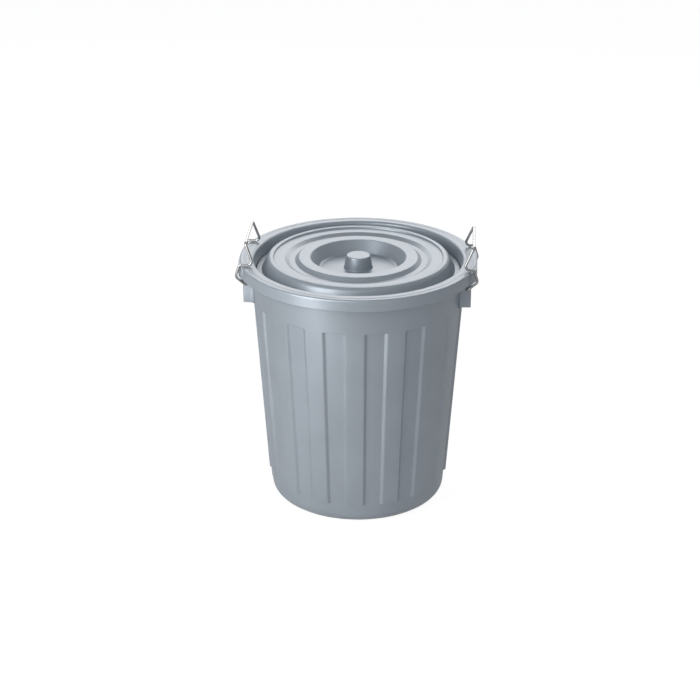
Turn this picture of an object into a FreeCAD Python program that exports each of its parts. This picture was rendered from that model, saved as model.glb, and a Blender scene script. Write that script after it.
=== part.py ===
import FreeCAD, Part

import math
import os

import Sketcher

# A moulded plastic pail with sunk flutes, a lid that sits down inside its rim, and two bent wire
# handles that swing in lugs under the rim. +Z is up and the foot stands on z = 0. The handles are
# at +X and -X, and -Y is the front.

doc = FreeCAD.newDocument("pail")

# Driving sizes, in millimetres and degrees.
SIZES = {
    # the pail's wall
    "rim_height": 400.0,        # floor to the top of the rim
    "band_radius": 165.8,       # outside of the plain band, at the tops of the flutes
    "wall_lean": 3.985,         # the wall's angle from upright
    "wall": 2.6,
    "flute_top": 335.9,         # height of the tops of the flutes
    "rib_foot": 34.5,           # height where the ribs end
    "flute_depth": 3.6,
    "flute_side_run": 4.0,      # width of a flute's sloped side
    "flute_span": 12.4,         # angle from rib to rib across a flute
    "flute_count": 16,
    "first_flute": 12.8,        # from the front towards +X
    "foot_rounding": 18.0,
    "floor_thickness": 3.0,
    "foot_recess": 2.0,         # how far the middle of the underside is raised
    "foot_ring": 26.0,          # width of the ring that the pail stands on, rounding included
    # the rim
    "rim_overhang": 20.7,       # rim's outer radius past the band
    "rim_thickness": 3.0,
    "rim_rounding": 2.5,
    "skirt_depth": 18.8,
    "skirt_wall": 2.6,
    "rabbet_inset": 5.0,        # foot of the rabbet's wall, in from the band
    "mouth_flare": 3.7,         # the rabbet widens this much up to the rim
    "ledge_thickness": 3.0,
    # the widened ears of the rim
    "ear_angle": 19.0,          # half of the angle that an ear takes
    "ear_step": 0.8,            # how proud its ends are of the round skirt
    "ear_outset": 0.3,
    "ear_half_width": 36.5,
    "ear_below_skirt": 2.6,
    "ear_below_top": 1.6,
    "ear_bond": 1.1,            # how deep the ear runs into the skirt
    # the lugs
    "lug_setback": 8.3,         # lug's outer face, in from the rim's outer radius
    "lug_half_width": 43.0,
    "lug_wall": 2.8,
    "lug_drop": 64.7,           # rim's top to the lug's lower end
    "lug_root_run": 12.0,       # how far out the thick root reaches
    "lug_root_flare": 7.0,
    # the wire handles
    "wire_radius": 2.1,
    "wire_clearance": 0.08,     # around the wire in its hole
    "wire_lift": 0.5,           # under the wire at rest, so that it clears the rim's edge as it swings
    "pivot_inset": 6.6,         # pivot, in from the lug's outer face
    "pivot_below_skirt": 13.7,
    "pin_inside": 8.0,          # how far the wire's end reaches past the lug's wall
    "pin_outside": 9.0,         # from the lug's wall to the wire's first bend
    "elbow_reach": 16.5,        # outermost bend, out from the pivot
    "elbow_rise": 14.6,
    "elbow_splay": 2.0,         # its place past the first bend, along Y
    "shoe_outset": 9.9,         # outer end of the run that lies on the rim, out from the pivot
    "shoe_inset_right": 6.0,    # inner end of that run; the two handles are not bent quite alike
    "shoe_inset_left": 11.6,
    "shoe_splay": 3.7,
    "grip_half_length": 51.0,
    "grip_outset_right": 8.9,
    "grip_outset_left": 0.2,
    "grip_rise": 36.6,          # the grip's axis above the rim
    "pin_bend": 3.5,            # radii of the wire's bends, on its axis
    "elbow_bend": 7.5,
    "shoe_bend": 4.0,
    "kink_bend": 6.0,
    "grip_bend": 4.5,
    # the lid, from its lip to its middle
    "lid_wall": 2.4,
    "seat_gap": 0.3,            # under the lid's lip
    "lip_clearance": 0.8,
    "lip_drop": 18.6,           # the lip's upper face, under the rim's top
    "lip_width": 8.5,
    "flank_run": 8.3,
    "shoulder_run": 4.3,
    "shoulder_drop": 3.6,
    "crest_rise": 2.4,          # above the rim's top
    "crest_width": 5.4,
    "crest_fall": 0.8,          # from the crest's outer edge to its inner one
    "step_run": 1.0,
    "outer_ring_drop": 1.0,
    "outer_ring_width": 16.9,
    "groove_slope": 7.2,
    "groove_drop": 5.0,
    "groove_width": 8.8,
    "groove_rise": 6.5,
    "inner_ring_rise": 0.8,
    "inner_ring_width": 17.5,
    "dish_wall_run": 14.4,
    "dish_drop": 18.0,
    "knob_radius": 22.6,        # at the dish
    "knob_top_radius": 18.4,
    "knob_height": 21.0,
}

sheet = doc.addObject("Spreadsheet::Sheet", "Sizes")
for row, (alias, size) in enumerate(SIZES.items(), start=1):
    sheet.set("A%d" % row, alias)
    sheet.set("B%d" % row, str(size))
    sheet.setAlias("B%d" % row, alias)
doc.recompute()


def of(formula):
    """A formula of size names, with each name spelled as a cell of the sheet."""
    words = formula.replace("(", "( ").replace(")", " )").split()
    return " ".join("Sizes." + word if word in SIZES else word for word in words)


def amount(formula):
    """What a formula of size names comes to, as a plain number."""
    return float(sheet.evalExpression(of(formula)))


def rib_radius(height, inward="0"):
    """The wall's outer radius over the ribs at a height, less a distance inward."""
    return "( band_radius + ( ( %s ) - flute_top ) * tan( wall_lean * 1 deg ) - ( %s ) )" % (height, inward)


# Sizes that several pieces share.
RIM_RADIUS = "( band_radius + rim_overhang )"
RABBET_RADIUS = "( band_radius - rabbet_inset )"
LEDGE_TOP = "( rim_height - lip_drop - lid_wall - seat_gap )"
SKIRT_FOOT = "( rim_height - skirt_depth )"
WALL_ACROSS = "( wall / cos( wall_lean * 1 deg ) )"
PIVOT_X = "( band_radius + rim_overhang - lug_setback - pivot_inset )"
PIVOT_Z = "( rim_height - skirt_depth - pivot_below_skirt )"


def sketch_on(body, name, role, lift=None, turn=None):
    """A sketch on one of its body's origin planes, raised along the normal and turned."""
    sketch = body.newObject("Sketcher::SketchObject", name)
    plane = next(item for item in body.Origin.OriginFeatures if item.Role == role)
    sketch.AttachmentSupport = [(plane, "")]
    sketch.MapMode = "FlatFace"
    if lift:
        sketch.setExpression("AttachmentOffset.Base.z", of(lift))
    if turn:
        sketch.setExpression("AttachmentOffset.Rotation.Angle", of(turn) + " * 1 deg")
    return sketch


def tie(sketch, line, end, x, y):
    """Ties one end of a line to its two formulas, measured from the sketch's origin."""
    for kind, formula in (("DistanceX", x), ("DistanceY", y)):
        size = amount(formula)
        if abs(size) < 1e-9:
            # a corner on an axis is held to that axis
            axis = -2 if kind == "DistanceX" else -1
            sketch.addConstraint(Sketcher.Constraint("PointOnObject", line, end, axis))
            continue
        index = sketch.addConstraint(Sketcher.Constraint(kind, -1, 1, line, end, size))
        sketch.setExpression("Constraints[%d]" % index, of(formula))


def outline(sketch, corners):
    """A closed outline of straight runs; each corner is a pair of formulas."""
    points = [FreeCAD.Vector(amount(x), amount(y), 0) for x, y in corners]
    count = len(points)
    for index in range(count):
        sketch.addGeometry(Part.LineSegment(points[index], points[(index + 1) % count]), False)
    for index in range(count):
        sketch.addConstraint(Sketcher.Constraint("Coincident", index, 2, (index + 1) % count, 1))
    for index, (x, y) in enumerate(corners):
        tie(sketch, index, 1, x, y)


def revolve(body, name, corners):
    """A solid of revolution about Z; corners are (radius, height) pairs."""
    sketch = sketch_on(body, name + "_profile", "XZ_Plane")
    outline(sketch, corners)
    feature = body.newObject("PartDesign::Revolution", name)
    feature.Profile = sketch
    feature.ReferenceAxis = (sketch, ["V_Axis"])
    feature.Angle = 360
    doc.recompute()
    return feature


def pad(body, name, corners, low, high):
    """A prism between two heights."""
    sketch = sketch_on(body, name + "_outline", "XY_Plane", lift=low)
    outline(sketch, corners)
    feature = body.newObject("PartDesign::Pad", name)
    feature.Profile = sketch
    feature.setExpression("Length", of("( %s ) - ( %s )" % (high, low)))
    doc.recompute()
    return feature


def ring_edges(shape, radius, height):
    """Names of the circular edges about Z with this radius and height."""
    names = []
    for index, edge in enumerate(shape.Edges, start=1):
        curve = edge.Curve
        if not isinstance(curve, Part.Circle):
            continue
        if abs(curve.Radius - radius) < 0.01 and abs(curve.Center.z - height) < 0.01:
            names.append("Edge%d" % index)
    return names


def round_ring(body, name, base, rounding, *rings):
    """Rounds the ring-shaped edges given as (radius, height) formulas."""
    names = []
    for radius, height in rings:
        names += ring_edges(base.Shape, amount(radius), amount(height))
    feature = body.newObject("PartDesign::Fillet", name)
    feature.Base = (base, names)
    feature.setExpression("Radius", of(rounding))
    doc.recompute()
    return feature


def flutes(body, name, inward, top, foot):
    """Cuts the row of flutes. Each is a tapering block whose two sides slope out to the ribs; inward
    moves the cut in through the wall and widens it alike, so that the wall keeps its thickness."""
    sections = []
    for level, height in (("top", top), ("foot", foot)):
        surface = rib_radius(height, "0")
        slope = "( flute_side_run / flute_depth )"
        edge = "( %s * sin( flute_span / 2 * 1 deg ) )" % surface
        shift = "( %s * sqrt( 1 + %s * %s ) )" % (inward, slope, slope)
        inner = "( 3 * flute_depth )"
        outer = "( flute_depth )"
        near = "( %s - %s )" % (surface, inner)
        far = "( %s + %s )" % (surface, outer)
        narrow = "( %s + %s - %s * %s )" % (edge, shift, inner, slope)
        broad = "( %s + %s + %s * %s )" % (edge, shift, outer, slope)
        sketch = sketch_on(body, "%s_%s" % (name, level), "XY_Plane", lift=height, turn="( 270 + first_flute )")
        outline(sketch, [(near, "0 - " + narrow), (far, "0 - " + broad), (far, broad), (near, narrow)])
        sections.append(sketch)
    cut = body.newObject("PartDesign::SubtractiveLoft", name)
    cut.Profile = sections[0]
    cut.Sections = [sections[1]]
    cut.Ruled = True
    doc.recompute()
    row = body.newObject("PartDesign::PolarPattern", name + "_row")
    row.Originals = [cut]
    row.Axis = (sections[0], ["N_Axis"])
    row.Angle = 360
    row.setExpression("Occurrences", of("flute_count"))
    body.Tip = row
    doc.recompute()
    return row


def tub():
    """The pail. Its outside and its hollow are two bodies, and the hollow is cut from the outside."""
    outside = doc.addObject("PartDesign::Body", "tub_outside")
    flange_under = "( rim_height - rim_thickness )"
    shell = revolve(outside, "ribs_and_rim", [
        ("0", "rib_foot"),
        (rib_radius("rib_foot"), "rib_foot"),
        (rib_radius(LEDGE_TOP), LEDGE_TOP),
        (RABBET_RADIUS + " + wall", LEDGE_TOP),
        (RABBET_RADIUS + " + mouth_flare + wall", flange_under),
        (RIM_RADIUS + " - skirt_wall", flange_under),
        (RIM_RADIUS + " - skirt_wall", SKIRT_FOOT),
        (RIM_RADIUS, SKIRT_FOOT),
        (RIM_RADIUS, "rim_height"),
        ("0", "rim_height"),
    ])
    round_ring(outside, "rim_edge", shell, "rim_rounding", (RIM_RADIUS, "rim_height"))
    flutes(outside, "flute", "0", "flute_top", "rib_foot - flute_depth")

    # The foot and the bottoms of the flutes stand at one level, a flute's depth in from the ribs.
    foot_radius = rib_radius("0", "flute_depth")
    core_top = "( flute_top + flute_depth )"
    core = revolve(outside, "flute_floors_and_foot", [
        ("0", "foot_recess"),
        (foot_radius + " - foot_ring - foot_recess", "foot_recess"),
        (foot_radius + " - foot_ring", "0"),
        (foot_radius, "0"),
        (rib_radius(core_top, "flute_depth"), core_top),
        ("0", core_top),
    ])
    round_ring(outside, "foot_edge", core, "foot_rounding", (foot_radius, "0"))

    # The ear at +X: a flat outer face and two slanted ones, a little proud of the skirt and deeper.
    end_x, end_y = "cos( ear_angle * 1 deg )", "sin( ear_angle * 1 deg )"
    proud = "( %s + ear_step )" % RIM_RADIUS
    bonded = "( %s - ear_bond )" % RIM_RADIUS
    half_turn = "cos( ear_angle / 2 * 1 deg )", "sin( ear_angle / 2 * 1 deg )"
    ear_half = [
        ("%s * %s" % (bonded, half_turn[0]), "%s * %s" % (bonded, half_turn[1])),
        ("%s * %s" % (bonded, end_x), "%s * %s" % (bonded, end_y)),
        ("%s * %s" % (proud, end_x), "%s * %s" % (proud, end_y)),
        (RIM_RADIUS + " + ear_outset", "ear_half_width"),
    ]
    ear_front = [(x, "0 - ( %s )" % y) for x, y in reversed(ear_half)]
    ear = pad(outside, "ear", [(bonded, "0")] + ear_half + ear_front,
              SKIRT_FOOT + " - ear_below_skirt", "rim_height - ear_below_top")

    # The lug under it: two side walls with thick roots and an outer wall, open below.
    outer_x = "( %s - lug_setback )" % RIM_RADIUS
    root_x = "( %s - flute_depth - wall )" % RABBET_RADIUS
    lug_half = [
        (root_x, "lug_half_width - lug_wall"),
        (root_x, "lug_half_width + lug_root_flare"),
        (root_x + " + lug_root_run", "lug_half_width"),
        (outer_x, "lug_half_width"),
    ]
    lug_front = [(x, "0 - ( %s )" % y) for x, y in reversed(lug_half)]
    inner_x = outer_x + " - lug_wall"
    lug_hollow = [(inner_x, "0 - ( lug_half_width - lug_wall )"), (inner_x, "lug_half_width - lug_wall")]
    lug = pad(outside, "lug", lug_half + lug_front + lug_hollow, "rim_height - lug_drop",
              "rim_height - rim_thickness / 2")

    both = outside.newObject("PartDesign::Mirrored", "ears_and_lugs")
    both.Originals = [ear, lug]
    side_plane = next(item for item in outside.Origin.OriginFeatures if item.Role == "YZ_Plane")
    both.MirrorPlane = (side_plane, [""])
    outside.Tip = both
    doc.recompute()

    # One straight bore through each lug's two side walls, for the wire's ends.
    holes = sketch_on(outside, "pivot_holes", "XZ_Plane")
    for index, side in enumerate(("", "0 - ")):
        centre = FreeCAD.Vector(amount(side + PIVOT_X), amount(PIVOT_Z), 0)
        bore = amount("wire_radius + wire_clearance")
        holes.addGeometry(Part.Circle(centre, FreeCAD.Vector(0, 0, 1), bore), False)
        tie(holes, index, 3, side + PIVOT_X, PIVOT_Z)
        radius = holes.addConstraint(Sketcher.Constraint("Radius", index, bore))
        holes.setExpression("Constraints[%d]" % radius, of("wire_radius + wire_clearance"))
    bores = outside.newObject("PartDesign::Pocket", "pivot_bores")
    bores.Profile = holes
    bores.Type = "ThroughAll"
    bores.SideType = "Symmetric"
    doc.recompute()

    hollow = doc.addObject("PartDesign::Body", "tub_hollow")
    ledge_under = "( %s - ledge_thickness )" % LEDGE_TOP
    rib_hollow_foot = "( rib_foot + wall )"
    # the ledge reaches in under the lid's lip, up to where the lid turns up
    ledge_radius = "( %s - lip_clearance - lip_width + lid_wall )" % RABBET_RADIUS
    revolve(hollow, "rib_hollow_and_mouth", [
        ("0", rib_hollow_foot),
        (rib_radius(rib_hollow_foot, WALL_ACROSS), rib_hollow_foot),
        (rib_radius(ledge_under, WALL_ACROSS), ledge_under),
        (ledge_radius, ledge_under),
        (ledge_radius, LEDGE_TOP),
        (RABBET_RADIUS, LEDGE_TOP),
        (RABBET_RADIUS + " + mouth_flare", "rim_height"),
        ("0", "rim_height"),
    ])
    flutes(hollow, "flute_back", "wall", "( flute_top + wall )", "rib_foot - flute_depth")
    floor_top = "( foot_recess + floor_thickness )"
    hollow_foot = rib_radius(floor_top, "flute_depth + " + WALL_ACROSS)
    hollow_top = "( flute_top + wall + flute_depth )"
    core_hollow = revolve(hollow, "flute_and_foot_hollow", [
        ("0", floor_top),
        (hollow_foot, floor_top),
        (rib_radius(hollow_top, "flute_depth + " + WALL_ACROSS), hollow_top),
        ("0", hollow_top),
    ])
    round_ring(hollow, "foot_hollow_edge", core_hollow, "foot_rounding - wall", (hollow_foot, floor_top))

    cut = doc.addObject("Part::Cut", "tub")
    cut.Base = outside
    cut.Tool = hollow
    cut.Label = "tub"
    doc.recompute()
    return cut


def lid():
    """The lid: one thin wall of even thickness, drawn by its upper side from the middle to the lip."""
    edge = "( %s - lip_clearance )" % RABBET_RADIUS
    top = "rim_height"
    # (run inward, height) of each corner, from the lip to the foot of the dish's wall
    steps = [
        ("0", top + " - lip_drop"),
        ("lip_width", top + " - lip_drop"),
        ("flank_run", top + " + crest_rise - shoulder_drop"),
        ("shoulder_run", top + " + crest_rise"),
        ("crest_width", top + " + crest_rise - crest_fall"),
        ("step_run", top + " - outer_ring_drop"),
        ("outer_ring_width", top + " - outer_ring_drop"),
        ("groove_slope", top + " - groove_drop"),
        ("groove_width", top + " - groove_drop"),
        ("groove_rise", top + " + inner_ring_rise"),
        ("inner_ring_width", top + " + inner_ring_rise"),
        ("dish_wall_run", top + " - dish_drop"),
    ]
    corners = []
    radius = edge
    for run, height in steps:
        radius = "( %s - %s )" % (radius, run)
        corners.append((radius, height))
    dish = top + " - dish_drop"
    corners += [
        ("knob_radius", dish),
        ("knob_top_radius", dish + " + knob_height"),
        ("0", dish + " + knob_height"),
    ]
    body = doc.addObject("PartDesign::Body", "lid_wall_line")
    line = sketch_on(body, "lid_upper_side", "XZ_Plane")
    points = [FreeCAD.Vector(amount(x), amount(y), 0) for x, y in corners]
    for index in range(len(points) - 1):
        line.addGeometry(Part.LineSegment(points[index], points[index + 1]), False)
        if index:
            line.addConstraint(Sketcher.Constraint("Coincident", index - 1, 2, index, 1))
        tie(line, index, 1, *corners[index])
    tie(line, len(points) - 2, 2, *corners[-1])
    doc.recompute()

    band = doc.addObject("Part::Offset2D", "lid_section")
    band.Source = line
    band.setExpression("Value", of("lid_wall"))
    band.Mode = "Skin"
    band.Join = "Intersection"
    band.Fill = True
    turned = doc.addObject("Part::Revolution", "lid_turned")
    turned.Source = band
    turned.Axis = FreeCAD.Vector(0, 0, 1)
    turned.Angle = 360
    turned.Label = "lid"
    doc.recompute()
    return turned


def bent_wire(points, bends):
    """A path of straight runs joined by arcs; bends holds the radius at each inner point."""
    edges = []
    start = points[0]
    for before, corner, after, bend in zip(points, points[1:], points[2:], bends):
        to_before = (before - corner).normalize()
        to_after = (after - corner).normalize()
        half = to_before.getAngle(to_after) / 2
        back = bend / math.tan(half)
        first = corner + to_before * back
        last = corner + to_after * back
        bisector = (to_before + to_after).normalize()
        middle = corner + bisector * (bend / math.sin(half) - bend)
        edges.append(Part.LineSegment(start, first).toShape())
        edges.append(Part.Arc(first, middle, last).toShape())
        start = last
    edges.append(Part.LineSegment(start, points[-1]).toShape())
    return Part.Wire(edges)


def handle(name, side, shoe_inset, grip_outset):
    """One length of wire: an end in the lug, out and up past the rim, back over the rim's top, up to
    the grip, and the same again in mirror image. side is 1 at +X and -1 at -X."""
    pivot_x, pivot_z = amount(PIVOT_X), amount(PIVOT_Z)
    pin_y = amount("lug_half_width")
    first_y = pin_y + amount("pin_outside")
    rest_z = amount("rim_height + wire_lift + wire_radius")
    half = [
        (pivot_x, pin_y - amount("lug_wall + pin_inside"), pivot_z),
        (pivot_x, first_y, pivot_z),
        (pivot_x + amount("elbow_reach"), first_y + amount("elbow_splay"), pivot_z + amount("elbow_rise")),
        (pivot_x + amount("shoe_outset"), first_y + amount("shoe_splay"), rest_z),
        (pivot_x - amount(shoe_inset), first_y + amount("shoe_splay"), rest_z),
        (pivot_x + amount(grip_outset), amount("grip_half_length"), amount("rim_height + grip_rise")),
    ]
    back = [FreeCAD.Vector(side * x, y, z) for x, y, z in half]
    front = [FreeCAD.Vector(side * x, -y, z) for x, y, z in reversed(half)]
    bends = [amount(size) for size in ("pin_bend", "elbow_bend", "shoe_bend", "kink_bend", "grip_bend")]
    path = bent_wire(back + front, bends + bends[::-1])
    section = Part.Wire(Part.Circle(back[0], FreeCAD.Vector(0, 1, 0), amount("wire_radius")).toShape())
    feature = doc.addObject("Part::Feature", name)
    feature.Label = name
    feature.Shape = path.makePipeShell([section], True, False)
    return feature


pieces = [
    tub(),
    lid(),
    handle("handle_right", 1, "shoe_inset_right", "grip_outset_right"),
    handle("handle_left", -1, "shoe_inset_left", "grip_outset_left"),
]
doc.recompute()

for item in doc.Objects:
    if "Invalid" in item.State or "Error" in item.State:
        raise RuntimeError("%s did not recompute: %s" % (item.Name, item.State))
for item in pieces:
    if item.Shape.isNull() or not item.Shape.isValid() or len(item.Shape.Solids) != 1:
        raise RuntimeError("%s is not one valid solid" % item.Label)

os.makedirs("parts", exist_ok=True)
for item in pieces:
    item.Shape.Solids[0].exportStep("parts/%s.step" % item.Label)
    print(item.Label, round(item.Shape.Volume), item.Shape.optimalBoundingBox(False, False))
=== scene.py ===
"""A silver-grey moulded plastic pail with its lid and two wire handles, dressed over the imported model."""
import math

import bpy
import numpy as np
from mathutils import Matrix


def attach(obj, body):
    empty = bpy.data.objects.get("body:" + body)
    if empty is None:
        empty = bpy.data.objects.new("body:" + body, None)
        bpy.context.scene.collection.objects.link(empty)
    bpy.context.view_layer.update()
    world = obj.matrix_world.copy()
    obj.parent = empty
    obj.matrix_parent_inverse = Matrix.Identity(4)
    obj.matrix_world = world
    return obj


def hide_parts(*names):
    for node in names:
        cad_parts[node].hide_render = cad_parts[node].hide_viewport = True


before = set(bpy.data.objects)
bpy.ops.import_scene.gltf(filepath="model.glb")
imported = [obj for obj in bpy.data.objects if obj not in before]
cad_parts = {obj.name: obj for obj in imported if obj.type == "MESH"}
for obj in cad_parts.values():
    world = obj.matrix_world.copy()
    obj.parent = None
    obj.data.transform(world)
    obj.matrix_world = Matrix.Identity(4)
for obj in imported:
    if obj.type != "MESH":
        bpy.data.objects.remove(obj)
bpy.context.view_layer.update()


# --- The pail -------------------------------------------------------------------------------------
# One injection-moulded piece of polypropylene, coloured silver-grey in the mass. The wall has sixteen
# sunk flutes under a plain band, and the rim is a wide flange with a turned-down skirt.

MM = 0.001
RIM_TOP = 400.0
RIM_RADIUS = 186.5
SKIRT_FOOT = 381.2
SKIRT_WALL = 2.6
FLANGE_UNDER = 397.0
MOUTH_RADIUS = 164.7
LEDGE_TOP = 378.7
LEDGE_UNDER = 375.7
LEDGE_RADIUS = 153.9
RABBET_RADIUS = 160.8
BAND_RADIUS = 165.8
WALL = 2.6
FLUTE_TOP = 335.9
RIB_FOOT = 34.5
FLUTE_DEPTH = 3.6
FLUTE_SIDE_RUN = 4.0
FLUTE_HALF_ANGLE = math.radians(6.2)
FLUTE_COUNT = 16
FIRST_FLUTE = math.radians(270 + 12.8)
EDGE_SOFTNESS = 0.24
FLUTE_TOP_STEP = 0.6
FLUTE_TOP_SOFTNESS = 0.12
FOOT_ROUNDING = 18.0
FOOT_RECESS = 2.0
FOOT_RING_INSIDE = 112.8
FLOOR_TOP = 5.0
RIM_ROUNDING = 2.5
MOUTH_ROUNDING = 4.4
RIM_GROOVE_RADIUS = 177.7
RIM_GROOVE_DEPTH = 0.45
PLASTIC_COLOUR = (0.336, 0.373, 0.414)
PLASTIC_ROUGHNESS = 0.38


def rib_radius(height):
    """The wall's outer radius over the ribs: the band's radius less the lean times the drop below the
    flute tops."""
    return BAND_RADIUS + (height - FLUTE_TOP) * math.tan(math.radians(3.985))


def rounded_line(corners, steps=7):
    """A broken line with its inner corners turned into arcs, as rows of points. Each corner holds its
    place and its radius. An arc begins at the radius over the tangent of half the corner's angle, and
    its points are the even turns between the two directions from its centre."""
    corners = np.asarray(corners, float)
    places, radii = corners[:, :-1], corners[1:-1, -1:]
    inner = places[1:-1]
    before = places[:-2] - inner
    after = places[2:] - inner
    before /= np.linalg.norm(before, axis=1, keepdims=True)
    after /= np.linalg.norm(after, axis=1, keepdims=True)
    half = np.arccos(np.clip((before * after).sum(1, keepdims=True), -1, 1)) / 2
    bisector = before + after
    bisector /= np.linalg.norm(bisector, axis=1, keepdims=True)
    centre = inner + bisector * radii / np.sin(half)
    first = inner + before * radii / np.tan(half) - centre
    last = inner + after * radii / np.tan(half) - centre
    turn = (math.pi - 2 * half)[:, None, :]
    share = np.linspace(0, 1, steps)[None, :, None]
    arcs = np.sin((1 - share) * turn) * first[:, None] + np.sin(share * turn) * last[:, None]
    arcs = (centre[:, None] + arcs / np.sin(turn)).reshape(-1, places.shape[1])
    return np.vstack([places[:1], arcs, places[-1:]])


def backed_line(line, spacing, margin=0.35):
    """The same line with more points on its long runs: one a margin from each end, so that the shading
    turns only in the arcs, and the rest evenly along it."""
    along = np.concatenate([[0], np.cumsum(np.linalg.norm(np.diff(line, axis=0), axis=1))])
    runs = np.diff(along)
    long = runs > 3 * margin
    even = np.arange(spacing, along[-1], spacing)
    even = even[long[np.searchsorted(along, even) - 1]]
    places = np.unique(np.concatenate([along, along[:-1][long] + margin, along[1:][long] - margin, even]))
    return np.stack([np.interp(places, along, line[:, axis]) for axis in range(line.shape[1])], 1)


def eased_ramp(distance, width, softness):
    """0 before a slope, 1 after it and straight between, with both ends eased: the difference of two soft
    corners, each the logarithm of one plus the exponential of the distance over the softness."""
    start = np.logaddexp(0, distance / softness)
    end = np.logaddexp(0, (distance - width) / softness)
    return (start - end) * softness / width


def surface(name, points):
    """A closed skin from a grid of points in millimetres. Columns run round and join up, and the first
    and last rows are closed by one flat face each. Its sides face along the step to the next column
    crossed with the step to the next row."""
    rows, columns = points.shape[:2]
    index = np.arange(rows * columns).reshape(rows, columns)
    beside = np.roll(index, -1, axis=1)
    quads = np.stack([index[:-1], beside[:-1], beside[1:], index[1:]], -1).reshape(-1, 4)
    faces = quads.tolist() + [index[0, ::-1].tolist(), index[-1].tolist()]
    mesh = bpy.data.meshes.new(name)
    mesh.from_pydata((points.reshape(-1, 3) * MM).tolist(), [], faces)
    mesh.shade_smooth()
    mesh.update()
    piece = bpy.data.objects.new(name, mesh)
    bpy.context.collection.objects.link(piece)
    return piece


def moulded_plastic(name, colour, roughness):
    """Silver-grey plastic: a fine metallic fleck and a slow cloud in the colour, and a faint skin on the
    surface."""
    material = bpy.data.materials.new(name)
    material.use_nodes = True
    nodes, links = material.node_tree.nodes, material.node_tree.links
    shader = nodes["Principled BSDF"]
    shader.inputs["Metallic"].default_value = 0.5
    shader.inputs["IOR"].default_value = 1.5
    place = nodes.new("ShaderNodeTexCoord")
    fleck = nodes.new("ShaderNodeTexNoise")
    fleck.inputs["Scale"].default_value = 1500
    fleck.inputs["Detail"].default_value = 2
    cloud = nodes.new("ShaderNodeTexNoise")
    cloud.inputs["Scale"].default_value = 14
    cloud.inputs["Detail"].default_value = 3
    both = nodes.new("ShaderNodeMath")
    both.operation = "MULTIPLY_ADD"
    both.inputs[1].default_value = 0.6
    tint = nodes.new("ShaderNodeValToRGB")
    tint.color_ramp.elements[0].position = 0.35
    tint.color_ramp.elements[1].position = 1.0
    tint.color_ramp.elements[0].color = tuple(value * 0.93 for value in colour) + (1,)
    tint.color_ramp.elements[1].color = tuple(value * 1.07 for value in colour) + (1,)
    gloss = nodes.new("ShaderNodeMapRange")
    gloss.inputs["To Min"].default_value = roughness - 0.03
    gloss.inputs["To Max"].default_value = roughness + 0.03
    skin = nodes.new("ShaderNodeTexNoise")
    skin.inputs["Scale"].default_value = 420
    skin.inputs["Detail"].default_value = 2
    bump = nodes.new("ShaderNodeBump")
    bump.inputs["Strength"].default_value = 0.06
    bump.inputs["Distance"].default_value = 0.0004
    for texture in (fleck, cloud, skin):
        links.new(place.outputs["Object"], texture.inputs["Vector"])
    links.new(fleck.outputs["Fac"], both.inputs[0])
    links.new(cloud.outputs["Fac"], both.inputs[2])
    links.new(both.outputs[0], tint.inputs["Fac"])
    links.new(tint.outputs["Color"], shader.inputs["Base Color"])
    links.new(cloud.outputs["Fac"], gloss.inputs["Value"])
    links.new(gloss.outputs["Result"], shader.inputs["Roughness"])
    links.new(skin.outputs["Fac"], bump.inputs["Height"])
    links.new(bump.outputs["Normal"], shader.inputs["Normal"])
    return material


pail_plastic = moulded_plastic("pail_plastic", PLASTIC_COLOUR, PLASTIC_ROUGHNESS)

# The profile goes from the middle of the underside out and up to the rim, and back down the inside.
foot_radius = rib_radius(0) - FLUTE_DEPTH
outside_foot = rounded_line([
    (1.0, FOOT_RECESS, 0), (FOOT_RING_INSIDE - FOOT_RECESS, FOOT_RECESS, 0.8),
    (FOOT_RING_INSIDE, 0.0, 0.8), (foot_radius, 0.0, FOOT_ROUNDING),
    (rib_radius(RIB_FOOT) - FLUTE_DEPTH, RIB_FOOT, 0.5), (rib_radius(RIB_FOOT), RIB_FOOT, 0.9),
    (rib_radius(RIB_FOOT + 4), RIB_FOOT + 4, 0),
])
mouth = rounded_line([
    (rib_radius(372), 372, 0),
    (rib_radius(LEDGE_TOP), LEDGE_TOP, 1.0), (RABBET_RADIUS + WALL, LEDGE_TOP, 1.0),
    (MOUTH_RADIUS + WALL, FLANGE_UNDER, 2.0), (RIM_RADIUS - SKIRT_WALL, FLANGE_UNDER, 1.0),
    (RIM_RADIUS - SKIRT_WALL, SKIRT_FOOT, 0.8), (RIM_RADIUS, SKIRT_FOOT, 0.9),
    (RIM_RADIUS, RIM_TOP, RIM_ROUNDING), (RIM_GROOVE_RADIUS + 1.0, RIM_TOP, 0.5),
    (RIM_GROOVE_RADIUS, RIM_TOP - RIM_GROOVE_DEPTH, 0.5), (RIM_GROOVE_RADIUS - 1.0, RIM_TOP, 0.5),
    (MOUTH_RADIUS, RIM_TOP, MOUTH_ROUNDING), (RABBET_RADIUS, LEDGE_TOP, 1.2),
    (LEDGE_RADIUS, LEDGE_TOP, 0.8), (LEDGE_RADIUS, LEDGE_UNDER, 0.8),
    (rib_radius(LEDGE_UNDER) - WALL, LEDGE_UNDER, 1.5),
    (rib_radius(371) - WALL, 371, 0),
], 4)
inside_foot_top = RIB_FOOT + WALL
inside_foot = rounded_line([
    (rib_radius(inside_foot_top + 4) - WALL, inside_foot_top + 4, 0),
    (rib_radius(inside_foot_top) - WALL, inside_foot_top, 0.9),
    (rib_radius(inside_foot_top) - WALL - FLUTE_DEPTH, inside_foot_top, 0.5),
    (rib_radius(FLOOR_TOP) - WALL - FLUTE_DEPTH, FLOOR_TOP, FOOT_ROUNDING - WALL), (1.0, FLOOR_TOP, 0),
])
near_flute_top = np.array([-6, -2.5, -1.2, -0.7, -0.4, -0.2, 0, 0.2, 0.4, 0.7, 1.2, 2.5, 8])
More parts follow.
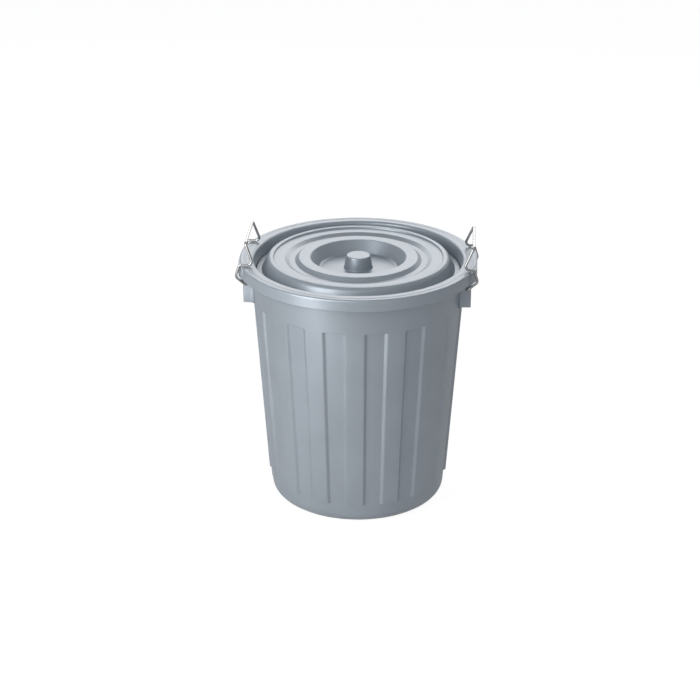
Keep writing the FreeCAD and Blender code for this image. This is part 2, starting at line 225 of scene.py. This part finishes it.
outside_rows = np.concatenate([np.linspace(45, 325, 4), FLUTE_TOP + near_flute_top, [358]])
inside_rows = np.concatenate([np.linspace(48, 325, 4), FLUTE_TOP + WALL + near_flute_top, [360]])[::-1]
inside_foot_line = backed_line(inside_foot, 40, 1.5)
profile = np.vstack([
    backed_line(outside_foot, 40, 1.5),
    np.stack([rib_radius(outside_rows), outside_rows], 1),
    backed_line(mouth, 30, 0.8),
    np.stack([rib_radius(inside_rows) - WALL, inside_rows], 1),
    inside_foot_line,
])
inner_side = np.arange(len(profile)) >= len(profile) - len(inside_rows) - len(inside_foot_line)

# Columns crowd where the flutes' sides are.
across_side = np.concatenate([np.linspace(4.35, 6.5, 10), np.linspace(6.8, 8.0, 3)])
across_pitch = np.concatenate([-across_side[::-1], [-2, 2], across_side, [10.0, 12.5]])
pitch = 2 * math.pi / FLUTE_COUNT
angles = (np.arange(FLUTE_COUNT)[:, None] * pitch + np.radians(across_pitch)[None, :]).ravel()
angles += FIRST_FLUTE
from_flute = (angles - FIRST_FLUTE + pitch / 2) % pitch - pitch / 2

# A flute is as deep as its sloped sides allow, and only below its top; the wall behind it is wider.
radius, height = profile[:, :1], profile[:, 1:]
widening = np.where(inner_side, WALL * math.hypot(1, FLUTE_SIDE_RUN / FLUTE_DEPTH), 0)[:, None]
thickness = np.where(inner_side, WALL, 0)[:, None]
inward = math.sin(FLUTE_HALF_ANGLE) - np.abs(np.sin(from_flute))[None, :]
sunk = eased_ramp(rib_radius(height) * inward + widening, FLUTE_SIDE_RUN, EDGE_SOFTNESS)
below_top = FLUTE_TOP + thickness - height + FLUTE_TOP_STEP / 2
sunk = sunk * eased_ramp(below_top, FLUTE_TOP_STEP, FLUTE_TOP_SOFTNESS)
floor_radius = rib_radius(height) - FLUTE_DEPTH - thickness
radius = radius - sunk * np.maximum(radius - floor_radius, 0)
tub = surface("tub_wall_and_rim", np.stack([radius * np.cos(angles), radius * np.sin(angles),
                                            np.broadcast_to(height, radius.shape)], -1))
tub.data.materials.append(pail_plastic)
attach(tub, "pail")


# --- The ears and lugs ------------------------------------------------------------------------------
# Moulded with the pail: the rim's skirt swells into an ear over each handle, a little proud and deeper,
# and under it hangs a box-shaped lug, open below, whose side walls carry the wire's ends.

EAR_TOP = RIM_TOP - 1.6
EAR_FOOT = SKIRT_FOOT - 2.6
LUG_FOOT = RIM_TOP - 64.7
LUG_TOP = RIM_TOP - 1.5
EAR_FACE = 186.8
EAR_WIDTH = 2.5
EAR_BOND = 1.3
LUG_FACE = 178.2
LUG_WALL = 2.8
LUG_HALF_WIDTH = 43.0
EDGE_ROUNDING = 0.7

ear_outer = backed_line(rounded_line([
    (177.1, -61.0, 0), (185.0, -42.0, 9.0), (EAR_FACE, -20.0, 60.0), (EAR_FACE, 20.0, 60.0),
    (185.0, 42.0, 9.0), (177.1, 61.0, 0),
]), 6)
ear_inner = ear_outer / np.linalg.norm(ear_outer, axis=1, keepdims=True) * (RIM_RADIUS - EAR_BOND)


def shell_between(inner, outer, section):
    """Points of a wall that follows two lines seen from above: a row for each pair of points on them, and
    in it the section, whose first number is its share of the way from the inner line to the outer one.
    The rows run from the lines' last points to their first, so that the skin faces outwards."""
    share = section[None, :, :1]
    flat = inner[:, None] + (outer - inner)[:, None] * share
    level = np.broadcast_to(section[None, :, 1:], flat.shape[:2] + (1,))
    return np.concatenate([flat, level], -1)[::-1]


def rounded_section(low, high, width, rounding, steps=5):
    """A closed upright box section from low to high: its first number goes 0 to 1 across the width, and
    its four corners are quarter turns of the rounding."""
    turn = np.linspace(0, math.pi / 2, steps)
    flat, up = rounding * (1 - np.cos(turn)), rounding * (1 - np.sin(turn))
    side = np.linspace(low + rounding, high - rounding, 6)[1:-1]
    out = np.concatenate([width - flat[::-1], np.full(4, width), width - flat])
    lift = np.concatenate([low + up[::-1], side, high - up])
    back = np.concatenate([flat[::-1], np.zeros(4), flat])
    drop = np.concatenate([high - up[::-1], side[::-1], low + up])
    return np.stack([np.concatenate([out, back]) / width, np.concatenate([lift, drop])], 1)


for side, word in ((1, "right"), (-1, "left")):
    ear_section = rounded_section(EAR_FOOT, EAR_TOP, EAR_WIDTH, EDGE_ROUNDING)
    grid = shell_between(ear_inner, ear_outer, ear_section)
    # Turned half way round for the other side, so that the skin keeps facing outwards.
    ear = surface("tub_ear_" + word, grid * np.array([side, side, 1]))

    # The roots end inside the pail's wall. Both lines have the same corners, so that they pair up.
    lug_outer = rounded_line([
        (157.9, -48.4, 0), (166.6, -43.4, 4.0), (LUG_FACE, -LUG_HALF_WIDTH, 2.4),
        (LUG_FACE, LUG_HALF_WIDTH, 2.4), (166.6, 43.4, 4.0), (157.9, 48.4, 0),
    ])
    lug_inner = rounded_line([
        (160.2, -40.2, 0), (165.0, -40.2, 1.0), (LUG_FACE - LUG_WALL, -40.21, 0.8),
        (LUG_FACE - LUG_WALL, 40.21, 0.8), (165.0, 40.2, 1.0), (160.2, 40.2, 0),
    ])
    lug_section = rounded_section(LUG_FOOT, LUG_TOP, LUG_WALL, EDGE_ROUNDING)
    grid = shell_between(lug_inner, lug_outer, lug_section)
    lug = surface("tub_lug_" + word, grid * np.array([side, side, 1]))
    for piece in (ear, lug):
        piece.data.materials.append(pail_plastic)
        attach(piece, "pail")
        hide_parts("tub")
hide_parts("tub")


# --- The lid ----------------------------------------------------------------------------------------
# A thin moulded disc of the same plastic. Its lip lies on the ledge inside the rim, and from there it
# rises over a rounded shoulder to two flat rings with a wide groove between them, and dips to a dished
# middle round a hollow knob.

LID_WALL = 2.4
LIP_DROP = 18.6
LID_COLUMNS = 288
# Each corner of the upper side: its radius, its height from the rim's top and its rounding.
lid_top = np.array([
    (160.0, -LIP_DROP, 0.8), (151.5, -LIP_DROP, 2.0), (143.2, -1.2, 8.0), (138.9, 2.4, 4.0),
    (133.5, 1.6, 0.9), (132.5, -1.0, 0.9), (115.6, -1.0, 2.0), (108.4, -5.0, 3.0), (99.6, -5.0, 2.5),
    (93.1, 0.8, 2.0), (75.6, 0.8, 2.2), (61.2, -18.0, 4.0), (22.6, -18.0, 1.2), (18.5, 3.0, 2.0),
    (1.0, 3.0, 0),
])
lid_top[:, 1] += RIM_TOP
run = np.diff(lid_top[:, :2], axis=0)
run /= np.linalg.norm(run, axis=1, keepdims=True)
# The underside lies a wall's thickness to the left of the upper side's line, corner for corner.
down = np.stack([-run[:, 1], run[:, 0]], 1)
mitre = (down[:-1] + down[1:]) / (1 + (down[:-1] * down[1:]).sum(1, keepdims=True))
mitre = np.vstack([down[:1], mitre, down[-1:]])
lid_under = lid_top.copy()
lid_under[:, :2] += mitre * LID_WALL
lid_line = rounded_line(np.vstack([
    lid_under[::-1][:-1], [(160.0, RIM_TOP - LIP_DROP - LID_WALL, 0.8)], lid_top,
]))
lid_profile = backed_line(lid_line, 5)
lid_angles = np.arange(LID_COLUMNS) * 2 * math.pi / LID_COLUMNS
lid = surface("lid_shell", np.stack([
    lid_profile[:, :1] * np.cos(lid_angles), lid_profile[:, :1] * np.sin(lid_angles),
    np.broadcast_to(lid_profile[:, 1:], (len(lid_profile), LID_COLUMNS)),
], -1))
lid.data.materials.append(moulded_plastic("lid_plastic", PLASTIC_COLOUR, PLASTIC_ROUGHNESS))
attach(lid, "cover")
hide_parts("lid")


# --- The wire handles -------------------------------------------------------------------------------
# Each is one length of bright steel wire, bent cold. Its turned-in ends sit in the lug's holes, its legs
# come up round the rim and lie back across it, and from there it rises to a straight grip.

WIRE_RADIUS = 2.1
WIRE_SIDES = 20
PIVOT_X = 171.6
PIVOT_Z = 367.5
REST_Z = RIM_TOP + 0.5 + WIRE_RADIUS
GRIP_Z = RIM_TOP + 36.6
PIN_END = 32.2
FIRST_BEND = 52.0
ELBOW = (16.5, 54.0, 14.6)
RIM_RUN_OUTSIDE = 9.9
RIM_RUN_SIDE = 55.7
GRIP_HALF_LENGTH = 51.0


def wire(path, radius, sides):
    """Points of a round wire along a path: circles square to it, each turned as little as can be from
    the last."""
    ahead = np.gradient(path, axis=0)
    ahead /= np.linalg.norm(ahead, axis=1, keepdims=True)
    across = [np.array([0.0, 0.0, 1.0])]
    for direction in ahead:
        turned = across[-1] - direction * (direction @ across[-1])
        across.append(turned / np.linalg.norm(turned))
    across = np.array(across[1:])
    upward = np.cross(ahead, across)
    turn = np.arange(sides) * 2 * math.pi / sides
    ring = np.cos(turn)[None, :, None] * across[:, None] + np.sin(turn)[None, :, None] * upward[:, None]
    return path[:, None] + radius * ring


def drawn_steel():
    """Bright drawn wire: a metal with a fine unevenness in its polish."""
    material = bpy.data.materials.new("bright_wire")
    material.use_nodes = True
    nodes, links = material.node_tree.nodes, material.node_tree.links
    shader = nodes["Principled BSDF"]
    shader.inputs["Metallic"].default_value = 1.0
    place = nodes.new("ShaderNodeTexCoord")
    grain = nodes.new("ShaderNodeTexNoise")
    grain.inputs["Scale"].default_value = 600
    grain.inputs["Detail"].default_value = 3
    tint = nodes.new("ShaderNodeValToRGB")
    tint.color_ramp.elements[0].color = (0.40, 0.40, 0.40, 1)
    tint.color_ramp.elements[1].color = (0.54, 0.54, 0.54, 1)
    polish = nodes.new("ShaderNodeMapRange")
    polish.inputs["To Min"].default_value = 0.14
    polish.inputs["To Max"].default_value = 0.22
    links.new(place.outputs["Object"], grain.inputs["Vector"])
    links.new(grain.outputs["Fac"], tint.inputs["Fac"])
    links.new(grain.outputs["Fac"], polish.inputs["Value"])
    links.new(tint.outputs["Color"], shader.inputs["Base Color"])
    links.new(polish.outputs["Result"], shader.inputs["Roughness"])
    return material


wire_steel = drawn_steel()
# The two were not bent quite alike: where the run on the rim ends and where the grip stands, both out
# from the pivot, are each handle's own.
for side, word, rim_end, grip_place in ((1, "right", -6.0, 8.9), (-1, "left", -11.6, 0.2)):
    half = np.array([
        (PIVOT_X, PIN_END, PIVOT_Z, 0), (PIVOT_X, FIRST_BEND, PIVOT_Z, 3.5),
        (PIVOT_X + ELBOW[0], ELBOW[1], PIVOT_Z + ELBOW[2], 7.5),
        (PIVOT_X + RIM_RUN_OUTSIDE, RIM_RUN_SIDE, REST_Z, 4.0),
        (PIVOT_X + rim_end, RIM_RUN_SIDE, REST_Z, 6.0),
        (PIVOT_X + grip_place, GRIP_HALF_LENGTH, GRIP_Z, 4.5),
    ])
    corners = np.vstack([half, half[::-1] * np.array([1, -1, 1, 1])])
    points = wire(backed_line(rounded_line(corners, 10), 4), WIRE_RADIUS, WIRE_SIDES)
    handle = surface("handle_wire_" + word, points * np.array([side, side, 1]))
    handle.data.materials.append(wire_steel)
    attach(handle, "grip_" + word)
    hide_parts("handle_" + word)


# --- Floor, lamps and camera ------------------------------------------------------------------------
# A white floor, lit by wide panels behind the pail and by softboxes at its front left, which leave the
# right side dim. The camera stands a little to the right of the pail's front and looks down at it.

FLOOR_REACH = 6
FLOOR_GLOW = 1.07
SKY_STRENGTH = 0.42


def white_ground(name, kept_shadow, mirrored):
    """White to the camera, apart from a share of the light and shadow that fall on it. Reflections show
    the same, but only as bright as mirrored says. The glow is a little over white, so that the floor
    beyond the lamps' reach is white too."""
    material = bpy.data.materials.new(name)
    material.use_nodes = True
    nodes, links = material.node_tree.nodes, material.node_tree.links
    shader = nodes["Principled BSDF"]
    shader.inputs["Base Color"].default_value = (0.9, 0.9, 0.9, 1)
    shader.inputs["Roughness"].default_value = 0.9
    glow = nodes.new("ShaderNodeEmission")
    glow.inputs["Color"].default_value = (1, 1, 1, 1)
    path_kind = nodes.new("ShaderNodeLightPath")
    either = nodes.new("ShaderNodeMath")
    either.operation = "MAXIMUM"
    share = nodes.new("ShaderNodeMath")
    share.operation = "MULTIPLY"
    share.inputs[1].default_value = 1 - kept_shadow
    strength = nodes.new("ShaderNodeMapRange")
    strength.inputs["To Min"].default_value = FLOOR_GLOW
    strength.inputs["To Max"].default_value = mirrored
    mix = nodes.new("ShaderNodeMixShader")
    links.new(path_kind.outputs["Is Camera Ray"], either.inputs[0])
    links.new(path_kind.outputs["Is Glossy Ray"], either.inputs[1])
    links.new(either.outputs[0], share.inputs[0])
    links.new(share.outputs[0], mix.inputs["Fac"])
    links.new(path_kind.outputs["Is Glossy Ray"], strength.inputs["Value"])
    links.new(strength.outputs["Result"], glow.inputs["Strength"])
    links.new(shader.outputs["BSDF"], mix.inputs[1])
    links.new(glow.outputs["Emission"], mix.inputs[2])
    links.new(mix.outputs["Shader"], nodes["Material Output"].inputs["Surface"])
    return material


floor_mesh = bpy.data.meshes.new("floor")
floor_corners = [(x * FLOOR_REACH, y * FLOOR_REACH, 0) for x, y in ((-1, -1), (1, -1), (1, 1), (-1, 1))]
floor_mesh.from_pydata(floor_corners, [], [(0, 1, 2, 3)])
floor = bpy.data.objects.new("floor", floor_mesh)
bpy.context.collection.objects.link(floor)
floor_mesh.materials.append(white_ground("floor_white", 0.12, 0.44))

world = bpy.data.worlds.new("studio")
bpy.context.scene.world = world
world.use_nodes = True
sky_nodes, sky_links = world.node_tree.nodes, world.node_tree.links
sky = sky_nodes["Background"]
sky.inputs["Color"].default_value = (0.93, 0.96, 1.0, 1)
sky.inputs["Strength"].default_value = SKY_STRENGTH
white = sky_nodes.new("ShaderNodeBackground")
white.inputs["Color"].default_value = (1, 1, 1, 1)
seen = sky_nodes.new("ShaderNodeLightPath")
choose = sky_nodes.new("ShaderNodeMixShader")
sky_links.new(seen.outputs["Is Camera Ray"], choose.inputs["Fac"])
sky_links.new(sky.outputs["Background"], choose.inputs[1])
sky_links.new(white.outputs["Background"], choose.inputs[2])
sky_links.new(choose.outputs["Shader"], sky_nodes["World Output"].inputs["Surface"])


def softbox(name, place, aim, width, height, watts, colour=(1, 1, 1)):
    """A flat lamp that faces a point: its axis is the line from the point to its place."""
    lamp = bpy.data.lights.new(name, "AREA")
    lamp.shape = "RECTANGLE"
    lamp.size = width
    lamp.size_y = height
    lamp.energy = watts
    lamp.color = colour
    holder = bpy.data.objects.new(name, lamp)
    bpy.context.collection.objects.link(holder)
    back = np.array(place, float) - np.array(aim, float)
    back /= np.linalg.norm(back)
    tilt = math.acos(back[2])
    turn = math.atan2(back[1], back[0]) + math.pi / 2
    holder.location = place
    holder.rotation_euler = (tilt, 0, turn)
    holder.visible_camera = False
    return holder


softbox("back_panel", (0.1, 2.2, 1.6), (0, 0, 0.3), 3.0, 1.1, 25, (1.0, 0.97, 0.93))
softbox("back_low", (0.1, 2.4, 0.55), (0, 0, 0.3), 3.0, 1.0, 5.2)
softbox("key_window", (-0.88, -0.96, 0.54), (0, 0, 0.3), 0.6, 1.0, 9.0)
softbox("key_top", (-1.02, -1.1, 1.5), (0, 0, 0.3), 0.8, 0.8, 5.9)
softbox("low_left", (-0.54, -0.72, 0.09), (-0.1, -0.13, 0.38), 0.36, 0.16, 0.4)
softbox("front_left", (-0.46, -1.53, 0.7), (0, 0, 0.3), 0.6, 0.9, 3.4)
softbox("front_top", (0.14, -2.4, 2.6), (0, 0, 0.3), 1.4, 1.0, 1.8)

camera_data = bpy.data.cameras.new("camera")
camera_data.lens = 96.12
camera_data.sensor_width = 36
camera = bpy.data.objects.new("camera", camera_data)
bpy.context.collection.objects.link(camera)
camera.location = (0.15847, -2.74836, 1.4337)
camera.rotation_euler = tuple(math.radians(angle) for angle in (66.5542, -0.0491, 3.5914))
bpy.context.scene.camera = camera
bpy.context.scene.view_settings.view_transform = "Standard"
